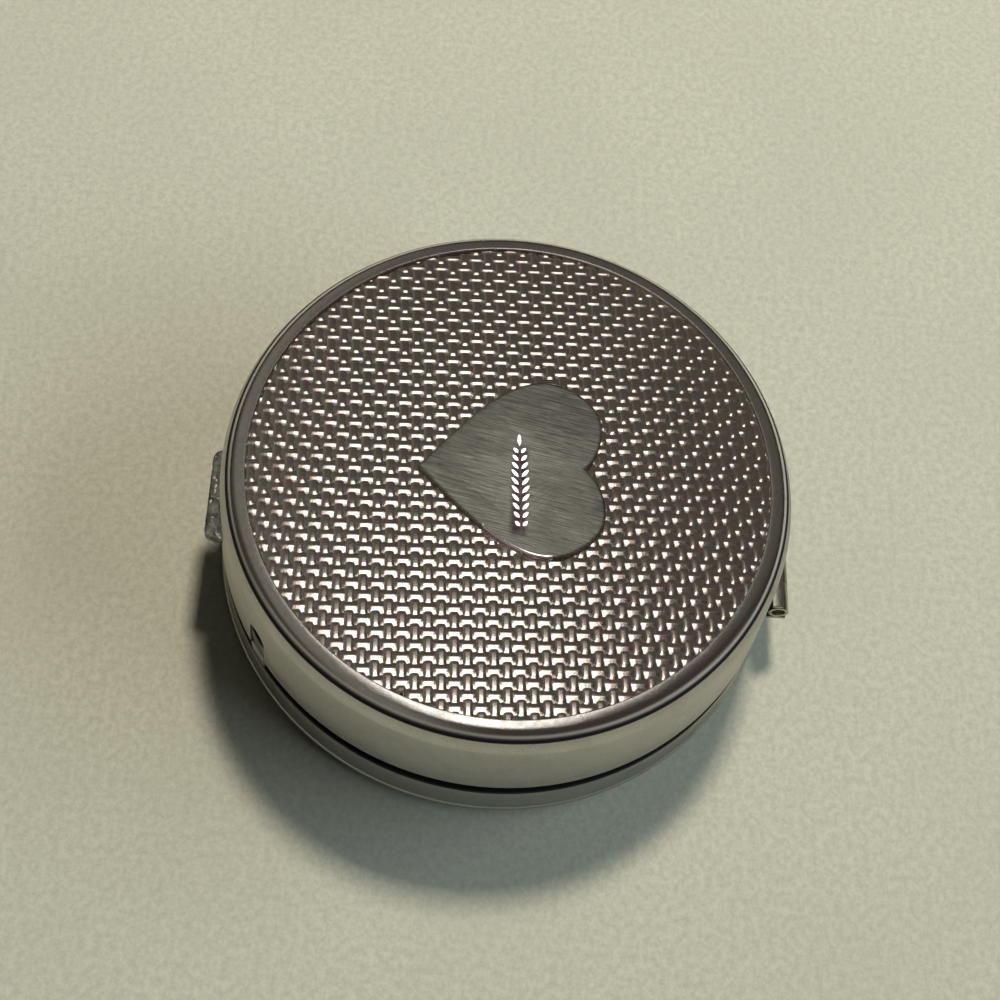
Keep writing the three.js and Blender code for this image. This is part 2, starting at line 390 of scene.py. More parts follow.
def finished(obj, name, body, nodes, look, smooth=35):
    """Smooths a modelled piece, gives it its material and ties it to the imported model"""
    settle(obj)
    bpy.ops.object.shade_smooth_by_angle(angle=math.radians(smooth))
    obj.name = name
    obj.data.name = name
    obj.data.materials.clear()
    obj.data.materials.append(finish(look))
    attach(obj, body)
    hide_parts(*nodes)
    return obj


# Walls


FIT_GAP = 0.25 * MM
BAND_SETBACK = 0.08 * MM
COLLAR_WALL = 0.4 * MM
OUTLET_ANGLE = math.radians(-55.4)
OUTLET_WIDTH = 2.4 * MM
OUTLET_HEIGHT = 4.4 * MM
OUTLET_BORE = 0.95 * MM
OUTLET_Z = cup.foot + OUTLET_HEIGHT - OUTLET_WIDTH / 2
NOTCH_GAP = 0.15 * MM
HINGE_HALF = upper_leaf.size.x / 2 + NOTCH_GAP


def wall_radius(z):
    """Outside of the lid skirt at a height; every other round wall follows its line"""
    return cup.radius - sizes().flare * (z - cup.foot)


def collar_radius(z):
    return wall_radius(z) - sizes().sheet - FIT_GAP


def band_radius(z):
    return wall_radius(z) - BAND_SETBACK


def hinge_notch():
    """Box that clears the hinge from lid skirt and base band"""
    return block(
        (-HINGE_HALF, cup.radius / 2, lower_leaf.foot),
        (HINGE_HALF, 2 * cup.radius, upper_leaf.top),
    )


def at_outlet(radius, z):
    return Vector((radius * math.cos(OUTLET_ANGLE), radius * math.sin(OUTLET_ANGLE), z))


def outlet_bar(radius, z, near=20 * MM, far=30 * MM, steps=48):
    """Round bar through the walls at the outlet"""
    return bar(at_outlet(near, z), at_outlet(far, z), radius, steps)


def outlet_strip(profile):
    """Part of a ring, as wide as the outlet notch lets in, in the middle of the notch"""
    half = math.asin((OUTLET_WIDTH / 2 - NOTCH_GAP) / profile[-2][0])
    return turned(profile, start=OUTLET_ANGLE + half, angle=2 * half, steps=10)


# Materials


class Wiring:
    """Adds nodes to a node tree and links them by socket name"""

    def __init__(self, tree):
        self.tree = tree

    def add(self, kind, **settings):
        """A node; a setting that names a property of it sets that, any other names an input"""
        node = self.tree.nodes.new("ShaderNode" + kind)
        inputs = {}
        for key, value in settings.items():
            if hasattr(node, key):
                setattr(node, key, value)
            else:
                inputs[key.replace("_", " ")] = value
        for key, value in inputs.items():
            self.put(node, key, value)
        return node

    def put(self, node, key, value):
        """Links or sets one input, named by its label or its number"""
        socket = self.socket(node, key)
        if isinstance(value, bpy.types.NodeSocket):
            self.tree.links.new(value, socket)
        elif isinstance(value, bpy.types.Node):
            self.tree.links.new(value.outputs[0], socket)
        else:
            socket.default_value = value

    def socket(self, node, key):
        if key.isdigit():
            return node.inputs[int(key)]
        for socket in node.inputs:
            if socket.name.lower() == key.lower() and socket.enabled:
                return socket
        raise RuntimeError(f"{node.bl_idname} has no input named {key}")

    def maths(self, operation, first, second=None, clamp=False):
        node = self.add("Math", operation=operation, use_clamp=clamp)
        self.put(node, "0", first)
        if second is not None:
            self.put(node, "1", second)
        return node.outputs[0]

    def times(self, first, second, clamp=False):
        return self.maths("MULTIPLY", first, second, clamp)

    def plus(self, first, second, clamp=False):
        return self.maths("ADD", first, second, clamp)

    def minus(self, first, second):
        return self.maths("SUBTRACT", first, second)

    def spread(self, value, low, high, to_low=0.0, to_high=1.0):
        """A value mapped smoothly from one range to another"""
        node = self.add("MapRange", interpolation_type="SMOOTHSTEP")
        for key, number in zip("01234", (value, low, high, to_low, to_high)):
            self.put(node, key, number)
        return node.outputs[0]

    def part(self, place, axis):
        """One coordinate of a place"""
        return self.add("SeparateXYZ", Vector=place).outputs[axis]

    def away(self, place, axis, middle):
        """Distance along one axis from a middle"""
        return self.maths("ABSOLUTE", self.minus(self.part(place, axis), middle))

    def noise(self, place, scale, detail=2.0, **settings):
        """Cloudy pattern between 0 and 1"""
        return self.add("TexNoise", Vector=place, Scale=scale, Detail=detail, **settings).outputs[0]

    def scaled(self, place, share):
        """A place multiplied by a number"""
        node = self.add("VectorMath", operation="SCALE")
        self.put(node, "0", place)
        self.put(node, "Scale", share)
        return node.outputs[0]

    def ball(self, place, centre, radius):
        """Mask of what lies within a distance of a point, with a soft edge"""
        away = self.add("VectorMath", operation="DISTANCE")
        self.put(away, "0", place)
        self.put(away, "1", centre / MM)
        return self.spread(away.outputs["Value"], 1.15 * radius / MM, radius / MM)

    def mix_colour(self, share, first, second, blend="MIX"):
        node = self.add("Mix", data_type="RGBA", blend_type=blend)
        self.put(node, "0", share)
        self.put(node, "6", first)
        self.put(node, "7", second)
        return node.outputs[2]

    def millimetres(self):
        """The piece's own place in millimetres"""
        return self.scaled(self.add("TexCoord").outputs["Object"], 1 / MM)


def toned(colour, share=1.0):
    """A colour made darker or lighter, as four numbers"""
    return (*(share * part for part in colour), 1.0)


def effect_group(name, values, outputs):
    """Empty shader node group that takes a place and named values, with its Wiring and its ends"""
    tree = bpy.data.node_groups.new(name, "ShaderNodeTree")
    tree.interface.new_socket("Place", in_out="INPUT", socket_type="NodeSocketVector")
    for label, default in values.items():
        socket = tree.interface.new_socket(label, in_out="INPUT", socket_type="NodeSocketFloat")
        socket.default_value = default
    for label, kind in outputs.items():
        tree.interface.new_socket(label, in_out="OUTPUT", socket_type="NodeSocket" + kind)
    source = tree.nodes.new("NodeGroupInput")
    result = tree.nodes.new("NodeGroupOutput")
    return Wiring(tree), source.outputs, result


def scratches(name):
    """Thin straight scratches in one direction, broken up by a second, coarser pattern"""
    wire, given, result = effect_group(
        name,
        {"Angle": 0.0, "Thickness": 0.05, "Length": 2.0, "Share": 0.3},
        {"Mask": "Float", "Grain": "Float"},
    )
    lying = wire.add(
        "VectorRotate", rotation_type="Z_AXIS", Vector=given["Place"], Angle=given["Angle"]
    ).outputs[0]
    size = wire.add(
        "CombineXYZ",
        X=wire.maths("DIVIDE", 1.0, given["Length"]),
        Y=wire.maths("DIVIDE", 1.0, given["Thickness"]),
        Z=wire.maths("DIVIDE", 0.3, given["Thickness"]),
    )
    stretched = wire.add("VectorMath", operation="MULTIPLY")
    wire.put(stretched, "0", lying)
    wire.put(stretched, "1", size)
    lines = wire.noise(stretched, 1.0, 3.0, Roughness=0.65)
    low = wire.minus(0.78, wire.times(given["Share"], 0.35))
    fine = wire.spread(lines, low, wire.plus(low, 0.06))
    coarse = wire.spread(wire.noise(lying, 0.9), 0.42, 0.6)
    wire.put(result, "Mask", wire.times(fine, coarse))
    wire.put(result, "Grain", lines)


def smudges(name):
    """Soft cloudy patches, as left by handling, with a finer mottle inside them"""
    wire, given, result = effect_group(name, {"Size": 6.0, "Mottle": 0.3}, {"Mask": "Float"})
    near = wire.scaled(given["Place"], wire.maths("DIVIDE", 1.0, given["Size"]))
    cloud = wire.noise(near, 1.0, 4.0, Roughness=0.6, Distortion=0.6)
    shade = wire.plus(wire.spread(cloud, 0.38, 0.66), given["Mottle"])
    wire.put(result, "Mask", wire.times(shade, wire.noise(near, 11.0), clamp=True))


def specks(name):
    """Scattered round specks of dust or tiny pits"""
    wire, given, result = effect_group(name, {"Spacing": 1.0, "Radius": 0.12}, {"Mask": "Float"})
    near = wire.scaled(given["Place"], wire.maths("DIVIDE", 1.0, given["Spacing"]))
    cells = wire.add("TexVoronoi", Vector=near, Scale=1.0).outputs
    limit = wire.times(given["Radius"], wire.part(cells["Color"], "X"))
    wire.put(result, "Mask", wire.maths("LESS_THAN", cells["Distance"], limit))


def tarnish(name):
    """Faint coloured shimmer of old plating: pinkish, yellowish and greenish patches"""
    wire, given, result = effect_group(name, {"Size": 1.5, "Strength": 0.12}, {"Tint": "Color"})
    near = wire.scaled(given["Place"], wire.maths("DIVIDE", 1.0, given["Size"]))
    cloud = wire.noise(near, 1.0, 3.0, Roughness=0.7)
    elsewhere = wire.add("Mapping", Vector=near, Location=(31, 17, 5))
    other = wire.noise(elsewhere, 1.3, 3.0, Roughness=0.7)
    pink = wire.mix_colour(wire.spread(cloud, 0.35, 0.65), GREENISH, PINKISH)
    gold = wire.mix_colour(wire.spread(other, 0.4, 0.65), pink, YELLOWISH)
    wire.put(result, "Tint", wire.mix_colour(given["Strength"], CLEAR, gold))


def effect(wire, builder, place, **settings):
    """Outputs of a shared effect, which is built the first time it is asked for"""
    name = builder.__name__.title()
    if name not in bpy.data.node_groups:
        builder(name)
    node = wire.tree.nodes.new("ShaderNodeGroup")
    node.node_tree = bpy.data.node_groups[name]
    wire.put(node, "Place", place)
    for key, value in settings.items():
        wire.put(node, key, value)
    return node.outputs


def new_material(name):
    """Material with a Principled shader, the Wiring of its tree and the place in millimetres"""
    material = bpy.data.materials.new(name)
    material.use_nodes = True
    wire = Wiring(material.node_tree)
    return material, material.node_tree.nodes["Principled BSDF"], wire, wire.millimetres()


def bumped(wire, shader, height, distance, strength=1.0):
    wire.put(shader, "Normal", wire.add("Bump", Height=height, Distance=distance, Strength=strength))


# Tints of the tarnish, colours of dirt and wear, and the black of painted shade
CLEAR = (1, 1, 1, 1)
GREENISH = (0.86, 1.0, 0.92, 1)
PINKISH = (1.0, 0.86, 0.93, 1)
YELLOWISH = (1.0, 0.95, 0.78, 1)
HAND_DIRT = (0.20, 0.18, 0.15, 1)
# Black painted shade for creases, gaps and holes in the plate
PAINTED_SHADE = (0.012, 0.010, 0.010, 1)
BRIGHT_CHIP = (0.92, 0.88, 0.80, 1)
WEAVE_GROUND = (0.20, 0.145, 0.145, 1)
WEAVE_DIRT = (0.16, 0.12, 0.11, 1)
DULL_PATCH = (0.12, 0.12, 0.10, 1)
BRIGHT_GRAIN = (0.86, 0.88, 0.80, 1)
DEEP_SCRATCH = (0.95, 0.95, 0.88, 1)
RUBBED_METAL = (0.13, 0.085, 0.105, 1)
FRESH_CUT = (0.92, 0.80, 0.84, 1)
PALE_LINT = (0.5, 0.45, 0.42, 1)
PAPER_SPECK = (0.08, 0.07, 0.06, 1)


def satin_plate(name, colour, roughness, scratch_share=0.3, painted_shade=None, hole=None):
    """Plated sheet: fine scratches, cloudy smudges and a few specks

    Painted shade is (lit height, shaded height): between these heights the metal turns to a black, dull
    non-metal that stands in for the shade of a crease or gap; hole is (middle, radius) of a painted
    black hole, with the painted shade taken off the metal below it so that it shows lit.
    """
    material, shader, wire, place = new_material(name)
    smudge = effect(wire, smudges, place, Size=5.0)["Mask"]
    scratch = effect(
        wire, scratches, place, Angle=0.35, Thickness=0.03, Length=3.0, Share=scratch_share
    )["Mask"]
    speck = effect(wire, specks, place, Spacing=0.9, Radius=0.10)["Mask"]
    tint = effect(wire, tarnish, place, Size=2.2, Strength=0.35)["Tint"]
    plated = wire.mix_colour(1.0, toned(colour), tint, "MULTIPLY")
    mottle = wire.spread(wire.noise(place, 6.5, Roughness=0.7), 0.35, 0.65)
    plated = wire.mix_colour(mottle, plated, toned(colour, 0.84))
    dirt = wire.times(wire.plus(smudge, speck, clamp=True), 0.2)
    shade = wire.mix_colour(dirt, plated, HAND_DIRT)
    # Painted shade: from the lit height to the shaded height the plate turns black and dull, standing in
    # for the shade of a crease or gap
    if painted_shade:
        lit_height, shaded_height = painted_shade
        shade_mask = wire.spread(wire.part(place, "Z"), lit_height / MM, shaded_height / MM)
        if hole:
            middle, radius = hole
            # Painted shade taken off the metal below the hole, and a painted black disc of shade in the
            # hole itself
            unshaded_below = wire.ball(place, middle - Vector((0, 0, 2.6 * radius)), 1.6 * radius)
            shade_mask = wire.times(shade_mask, wire.minus(1.0, unshaded_below))
            shade_mask = wire.maths("MAXIMUM", shade_mask, wire.ball(place, middle, radius))
        shade = wire.mix_colour(shade_mask, shade, PAINTED_SHADE)
        wire.put(shader, "Metallic", wire.minus(1.0, shade_mask))
        wire.put(shader, "Specular IOR Level", 0.15)
    else:
        wire.put(shader, "Metallic", 1.0)
    wire.put(shader, "Base Color", shade)
    rough = wire.plus(roughness, wire.times(smudge, 0.12))
    wire.put(shader, "Roughness", wire.plus(rough, wire.times(scratch, 0.15)))
    orange_peel = wire.noise(place, 5.0, 3.0, Roughness=0.6)
    bumped(wire, shader, wire.plus(orange_peel, wire.times(scratch, -0.6)), 0.004 * MM)
    return material


def chipped_plate(name, colour):
    """Handled soldered plate: dark mottled patches and small bright chips where it was knocked"""
    material, shader, wire, place = new_material(name)
    cloud = wire.noise(place, 1.1, 4.0, Roughness=0.7)
    fine = wire.noise(place, 5.0, 3.0, Roughness=0.7)
    chip = wire.spread(wire.noise(place, 1.9), 0.60, 0.64)
    dark = toned(colour, 0.34)
    shade = wire.mix_colour(wire.spread(cloud, 0.35, 0.62), dark, toned(colour))
    shade = wire.mix_colour(wire.spread(fine, 0.4, 0.7, 0.0, 0.6), shade, dark)
    wire.put(shader, "Base Color", wire.mix_colour(chip, shade, BRIGHT_CHIP))
    wire.put(shader, "Metallic", 1.0)
    wire.put(shader, "Roughness", wire.spread(chip, 0.0, 1.0, 0.42, 0.24))
    bumped(wire, shader, fine, 0.03 * MM)
    return material


def woven_metal(name, colour):
    """Embossed strands: bright worn crests and a dark brownish ground between them"""
    material, shader, wire, place = new_material(name)
    crest = disc.top / MM
    pit = PIT_DEPTH / MM
    depth = wire.spread(wire.part(place, "Z"), crest - 0.955 * pit, crest - 0.9 * pit)
    smudge = effect(wire, smudges, place, Size=3.5)["Mask"]
    tint = effect(wire, tarnish, place, Size=0.8, Strength=0.9)["Tint"]
    speck = effect(wire, specks, place, Spacing=0.8, Radius=0.12)["Mask"]
    plated = wire.mix_colour(1.0, toned(colour), tint, "MULTIPLY")
    ground = wire.mix_colour(1.0, WEAVE_GROUND, tint, "MULTIPLY")
    shade = wire.mix_colour(depth, ground, plated)
    dirt = wire.times(wire.plus(smudge, speck, clamp=True), 0.3)
    wire.put(shader, "Base Color", wire.mix_colour(dirt, shade, WEAVE_DIRT))
    wire.put(shader, "Metallic", 1.0)
    rough = wire.spread(depth, 0.0, 1.0, 0.3, 0.1)
    wire.put(shader, "Roughness", wire.plus(rough, wire.times(smudge, 0.06)))
    bumped(wire, shader, wire.noise(place, 7.0, Roughness=0.6), 0.003 * MM)
    return material


BRUSH_ANGLE = math.radians(-78)
SPRIG_X = 2.2 * MM
SPRIG_Y = 0.75 * MM


def brushed_metal(name, colour):
    """Hand-brushed plaque: dense grain one way, a few deeper scratches, dull patches

    The metal is rubbed dark round the sprig, and the cuts of the sprig are bright.
    """
    material, shader, wire, place = new_material(name)
    grain = effect(wire, scratches, place, Angle=BRUSH_ANGLE, Thickness=0.08, Length=2.2, Share=0.55)
    deep = effect(
        wire, scratches, place, Angle=BRUSH_ANGLE + 0.12, Thickness=0.10, Length=5.0, Share=0.5
    )["Mask"]
    smudge = effect(wire, smudges, place, Size=2.2)["Mask"]
    light = wire.spread(grain["Grain"], 0.32, 0.68, 0.55, 1.4)
    grey = wire.add("CombineXYZ", X=light, Y=light, Z=light)
    shade = wire.mix_colour(1.0, toned(colour), grey, "MULTIPLY")
    shade = wire.mix_colour(wire.times(smudge, 0.36), shade, DULL_PATCH)
    shade = wire.mix_colour(wire.times(grain["Mask"], 0.5), shade, BRIGHT_GRAIN)
    shade = wire.mix_colour(wire.times(deep, 0.7), shade, DEEP_SCRATCH)
    beside = wire.away(place, "Y", SPRIG_Y / MM)
    along = wire.away(place, "X", SPRIG_X / MM)
    wrinkle = wire.noise(place, 2.2, 3.0, Roughness=0.6)
    rubbed = wire.times(wire.spread(beside, 0.95, 0.35), wire.spread(along, 4.6, 3.6))
    rubbed = wire.times(rubbed, wire.spread(wrinkle, 0.25, 0.6, 0.5, 0.95))
    shade = wire.mix_colour(rubbed, shade, RUBBED_METAL)
    near_sprig = wire.times(wire.spread(beside, 3.0, 2.9), wire.spread(along, 8.0, 7.9))
    top = heart.top / MM
    cut = wire.times(wire.spread(wire.part(place, "Z"), top - 0.004, top - 0.012), near_sprig)
    wire.put(shader, "Base Color", wire.mix_colour(cut, shade, FRESH_CUT))
    wire.put(shader, "Metallic", 1.0)
    rough = wire.plus(0.30, wire.times(grain["Grain"], 0.2))
    wire.put(shader, "Roughness", wire.minus(rough, wire.times(cut, 0.24)))
    height = wire.plus(grain["Grain"], wire.times(deep, -0.8))
    bumped(wire, shader, wire.times(height, wire.minus(1.0, cut)), 0.02 * MM)
    return material


def velvet(name, colour):
    """Short pile: darker and lighter patches where it was brushed, and a soft sheen"""
    material, shader, wire, place = new_material(name)
    brushed = effect(wire, smudges, place, Size=7.0)["Mask"]
    pile = wire.noise(place, 9.0, 3.0, Roughness=0.7)
    lint = effect(wire, specks, place, Spacing=1.6, Radius=0.07)["Mask"]
    shade = wire.mix_colour(pile, toned(colour, 0.45), toned(colour))
    shade = wire.mix_colour(wire.times(brushed, 0.4), shade, toned(colour, 1.5))
    wire.put(shader, "Base Color", wire.mix_colour(wire.times(lint, 0.5), shade, PALE_LINT))
    wire.put(shader, "Roughness", wire.spread(pile, 0.3, 0.7, 0.85, 1.0))
    wire.put(shader, "Sheen Weight", 0.3)
    wire.put(shader, "Sheen Roughness", 0.4)
    wire.put(shader, "Sheen Tint", (0.9, 0.35, 0.45, 1))
    bumped(wire, shader, pile, 0.08 * MM, 0.7)
    return material


def paper(name, colour):
    """Smooth drawing paper with a fine tooth, faint clouds and a few specks"""
    material, shader, wire, place = new_material(name)
    cloud = wire.spread(wire.noise(place, 0.05, 4.0), 0.35, 0.65)
    tooth = wire.noise(place, 1.5, 4.0, Roughness=0.75)
    speck = effect(wire, specks, place, Spacing=24.0, Radius=0.016)["Mask"]
    shade = wire.mix_colour(cloud, toned(colour), toned(colour, 0.95))
    shade = wire.mix_colour(wire.spread(tooth, 0.3, 0.7), shade, toned(colour, 0.78))
    wire.put(shader, "Base Color", wire.mix_colour(wire.times(speck, 0.8), shade, PAPER_SPECK))
    wire.put(shader, "Roughness", wire.spread(tooth, 0.3, 0.7, 0.75, 0.95))
    wire.put(shader, "Specular IOR Level", 0.2)
    bumped(wire, shader, tooth, 0.03 * MM, 0.5)
    return material


def finish(name):
    """A material of the case, made the first time it is asked for"""
    made = bpy.data.materials.get(name)
    if made:
        return made
    look = finishes()
    # Painted shade: the band's plate is the lid's plate darkened, for the darker look it has below the
    # lid
    shaded_band_colour = [0.84 * part for part in look.plate_colour]
    # Heights of painted shade, each (lit height, shaded height): the crease under the rim on the lid
    # cup, the lid's shadow on the top of the band, the crease at the rim's outer foot and the gap
    # between lid and neck
    lid_crease_shade = (cup.top - 0.05 * MM, cup.top - 0.01 * MM)
    band_top_shadow = (band.top - 0.5 * MM, band.top - 0.25 * MM)
    rim_foot_shade = (rim.foot + 0.66 * MM, rim.foot + 0.22 * MM)
    neck_gap_shade = (cup.foot + 0.6 * MM, cup.foot)
    # Painted black hole of shade in the neck at the outlet bore
    outlet = (at_outlet(collar_radius(cup.foot), OUTLET_Z), 1.08 * MM)
    makers = {
        "satin plate": (satin_plate, look.plate_colour, 0.4),
        "lid plate": (satin_plate, look.plate_colour, 0.42, 0.3, lid_crease_shade),
        "band plate": (satin_plate, shaded_band_colour, 0.36, 0.3, band_top_shadow),
        "bright rim": (satin_plate, look.rim_colour, 0.17, 0.2, rim_foot_shade),
        "woven metal": (woven_metal, look.weave_colour),
        "brushed heart": (brushed_metal, look.heart_colour),
        "inner metal": (satin_plate, look.inner_colour, 0.36, 0.5),
        "neck metal": (satin_plate, look.inner_colour, 0.36, 0.5, neck_gap_shade, outlet),
        "worn lip": (chipped_plate, look.worn_colour),
        "worn plate": (satin_plate, look.worn_colour, 0.30, 0.6),
        "velvet": (velvet, look.velvet_colour),
        "paper": (paper, look.paper_colour),
    }
    maker, *settings = makers[name]
    return maker(name, *settings)


# Base


class CASE_OT_base_wall(bpy.types.Operator):
    """Drawn band of the base with the bead rolled at its foot"""

    bl_idname = "jewelry_case.base_wall"
    bl_label = "Base Wall"

    def execute(self, context):
        sheet = sizes().sheet
        bead = 0.42 * MM
        bead_height = 1.15 * MM
        bead_r = band.radius - bead
        meet = math.degrees(math.acos((band_radius(bead_height) - bead_r) / bead))
        edge = 0.11 * MM
        inner_r = band_radius(band.foot) - sheet
        outer_top = band_radius(band.top)
        wall = turned(
            [
                (inner_r, band.foot + edge),
                (inner_r + edge, band.foot),
                *arc((bead_r, bead_height), bead, -90, meet, 14),
                *((band_radius(z), z) for z in (2.2 * MM, 3.4 * MM, band.top - edge)),
                *arc((outer_top - edge, band.top - edge), edge, 30, 90, 3),
                (outer_top - sheet, band.top),
            ]
        )
        combine(wall, hinge_notch())
        finished(wall, "base_wall", "base", ["base_band"], "band plate")
        return {"FINISHED"}


class CASE_OT_bottom_dish(bpy.types.Operator):
    """Shallow dished bottom with a flat to stand on and a turned-up rim"""

    bl_idname = "jewelry_case.bottom_dish"
    bl_label = "Bottom Dish"

    def execute(self, context):
        sheet = sizes().sheet
        flat = cup.radius - 2.1 * MM
        rise = dish.height - sheet
        inner_flat = flat - sheet / 2
        steps = 8
        under = []
        over = []
        for i in range(steps + 1):
            share = i / steps
            low = flat + (dish.radius - flat) * share
            high = dish.radius - (dish.radius - inner_flat) * share
            under.append((low, dish.foot + rise * share**2))
            over.append((high, dish.foot + sheet + rise * (1 - share) ** 2))
        groove_half = 0.10 * MM
        groove_r = flat * 0.72
        groove = [
            (groove_r - groove_half, dish.foot),
            (groove_r, dish.foot + groove_half / 2),
            (groove_r + groove_half, dish.foot),
        ]
        profile = [(0, dish.foot), *groove, *under, *over, (0, dish.foot + sheet)]
        bottom = turned(profile, closed=False)
        finished(bottom, "bottom_dish", "base", ["base_bottom"], "satin plate")
        return {"FINISHED"}


class CASE_OT_neck(bpy.types.Operator):
    """Collar that the lid slides over, its seat bead, two catch pips and the outlet bore"""

    bl_idname = "jewelry_case.neck"
    bl_label = "Neck"

    def execute(self, context):
        lip_edge = 0.12 * MM
        seat_top = cup.foot - 0.1 * MM
        seat_depth = 0.5 * MM
        seat_round = seat_depth / 2
        seat_foot = seat_top - seat_depth
        top_r = collar_radius(neck.top)
        ring = turned(
            [
                (collar_radius(neck.foot) - COLLAR_WALL, neck.foot),
                (collar_radius(neck.foot), neck.foot),
                (collar_radius(seat_foot), seat_foot),
                *arc((neck.radius - seat_round, seat_top - seat_round), seat_round, -60, 80, 7),
                (collar_radius(seat_top), seat_top),
                (collar_radius(neck.top - lip_edge), neck.top - lip_edge),
                *arc((top_r - lip_edge, neck.top - lip_edge), lip_edge, 20, 90, 3),
                (top_r - COLLAR_WALL + lip_edge / 2, neck.top),
                (top_r - COLLAR_WALL, neck.top - lip_edge / 2),
            ]
        )
        combine(ring, self.seat_gap(HINGE_HALF, math.pi / 2, seat_top, seat_depth))
        combine(ring, self.seat_gap(OUTLET_WIDTH / 2 + NOTCH_GAP, OUTLET_ANGLE, seat_top, seat_depth))
        combine(ring, outlet_bar(OUTLET_BORE, OUTLET_Z - OUTLET_BORE / 2))
        pieces = [ring, self.notch_filler()]
        for degrees in (-70, -110):
            pieces.append(self.pip(math.radians(degrees)))
        whole = join(pieces)
        finished(whole, "neck_ring", "base", ["collar"], "neck metal")
        return {"FINISHED"}

    def seat_gap(self, half, angle, top, depth):
        """Block outside the neck that cuts a gap in the seat bead at one angle"""
        gap = block((cup.radius / 2, -half, top - 1.5 * depth), (2 * cup.radius, half, top + depth))
        turn_whole(gap, angle)
        return combine(gap, self.inside(top, depth))

    def inside(self, top, depth):
        """Solid cone as wide as the neck's outside"""
        low = top - 2 * depth
        high = top + 2 * depth
        return cone(low, high, collar_radius(low), collar_radius(high))

    def notch_filler(self):
        """Plate on the neck that fills the lid's notch below the round outlet"""
        low = closer.top + NOTCH_GAP
        face_r = neck.radius - 0.04 * MM
        plate = outlet_strip(
            [
                (collar_radius(low) - COLLAR_WALL / 2, low),
                (face_r, low),
                (face_r, OUTLET_Z),
                (collar_radius(OUTLET_Z) - COLLAR_WALL / 2, OUTLET_Z),
            ]
        )
        return combine(plate, outlet_bar(OUTLET_WIDTH / 2 - 0.1 * MM, OUTLET_Z))

    def pip(self, angle):
        """Small round pip pressed out of the neck, which holds the closed lid"""
        radius = 0.5 * MM
        proud = 0.1 * MM
        z = cup.foot + 2.2 * MM
        out = Vector((math.cos(angle), math.sin(angle), 0))
        middle = out * (collar_radius(z) + proud - radius)
        middle.z = z
        select_none()
        bpy.ops.mesh.primitive_uv_sphere_add(segments=24, ring_count=12, radius=radius, location=middle)
        dome = settle(bpy.context.object)
        edit_all(dome)
        keep = out * (collar_radius(z) - COLLAR_WALL / 2)
        bpy.ops.mesh.bisect(plane_co=keep, plane_no=out, clear_inner=True, use_fill=True)
        leave_edit()
        return dome


class CASE_OT_outlet_closer(bpy.types.Operator):
    """Tongue that rises from the band's edge into the outlet notch"""

    bl_idname = "jewelry_case.outlet_closer"
    bl_label = "Outlet Tongue"

    def execute(self, context):
        sheet = sizes().sheet
        strip = outlet_strip(
            [
                (wall_radius(closer.foot) - sheet, closer.foot),
                (band_radius(closer.foot), closer.foot),
                (wall_radius(cup.foot), cup.foot),
                (wall_radius(closer.top), closer.top),
                (wall_radius(closer.top) - sheet, closer.top),
            ]
        )
        round_edges(strip, 0.07 * MM, 2)
        finished(strip, "outlet_closer", "base", ["outlet_tongue"], "satin plate")
        return {"FINISHED"}


CLOTH_SCALE = 20.0
CLOTH_START = 0.985
CLOTH_VOXEL = 7 * MM
CLOTH_PRESSURE = 4.0
CLOTH_FRAMES = 20
CLOTH_SWELL = 9 * MM


class CASE_OT_velvet_pad(bpy.types.Operator):
    """Velvet lining pad on the bottom"""

    bl_idname = "jewelry_case.velvet_pad"
    bl_label = "Velvet Pad"

    def execute(self, context):
        edge = 0.4 * MM
        crown = 0.12 * MM
        profile = [(0, pad.foot), (pad.radius - edge, pad.foot)]
        profile += arc((pad.radius - edge, pad.foot + edge), edge, -80, 0, 6)
        profile += arc((pad.radius - edge, pad.top - crown - edge), edge, 0, 84, 8)
        for share in (0.9, 0.7, 0.5, 0.25, 0):
            profile.append((pad.radius * share, pad.top - crown * share**2))
        cushion = turned(profile, closed=False, steps=144)
        self.fill(cushion)
        finished(cushion, "velvet_pad", "base", ["base_pad"], "velvet")
        return {"FINISHED"}

    def fill(self, cushion):
        """Blows the cover up as cloth, much enlarged, and keeps it inside the pad's room"""
        edit_all(cushion)
        stretch((CLOTH_START * CLOTH_SCALE, CLOTH_START * CLOTH_SCALE, CLOTH_SCALE))
        leave_edit()
        modify(cushion, "REMESH", mode="VOXEL", voxel_size=CLOTH_VOXEL)
        start = [vert.co.copy() for vert in cushion.data.vertices]
        activate(cushion)
        cloth = cushion.modifiers.new("Cloth", "CLOTH")
        cloth.settings.use_pressure = True
        cloth.settings.uniform_pressure_force = CLOTH_PRESSURE
        cloth.settings.effector_weights.gravity = 0.0
        for frame_number in range(1, CLOTH_FRAMES + 1):
            bpy.context.scene.frame_set(frame_number)
        bpy.ops.object.modifier_apply(modifier=cloth.name)
        bpy.context.scene.frame_set(1)
        for vert, before in zip(cushion.data.vertices, start):
            step = vert.co - before
            if step.length > CLOTH_SWELL:
                vert.co = before + step * (CLOTH_SWELL / step.length)
        edit_all(cushion)
        stretch((1 / CLOTH_SCALE, 1 / CLOTH_SCALE, 1 / CLOTH_SCALE))
        leave_edit()
        modify(cushion, "SUBSURF", levels=1, render_levels=1)
        verts = cushion.data.vertices
        taller = (max(vert.co.z for vert in verts) - pad.foot) / pad.height
        wider = max(vert.co.xy.length for vert in verts) / pad.radius
        for vert in verts:
            vert.co.z = pad.foot + max(0.0, (vert.co.z - pad.foot) / taller)
            vert.co.xy = vert.co.xy / wider


# Hinge


KNUCKLE_WALL = 0.28 * MM


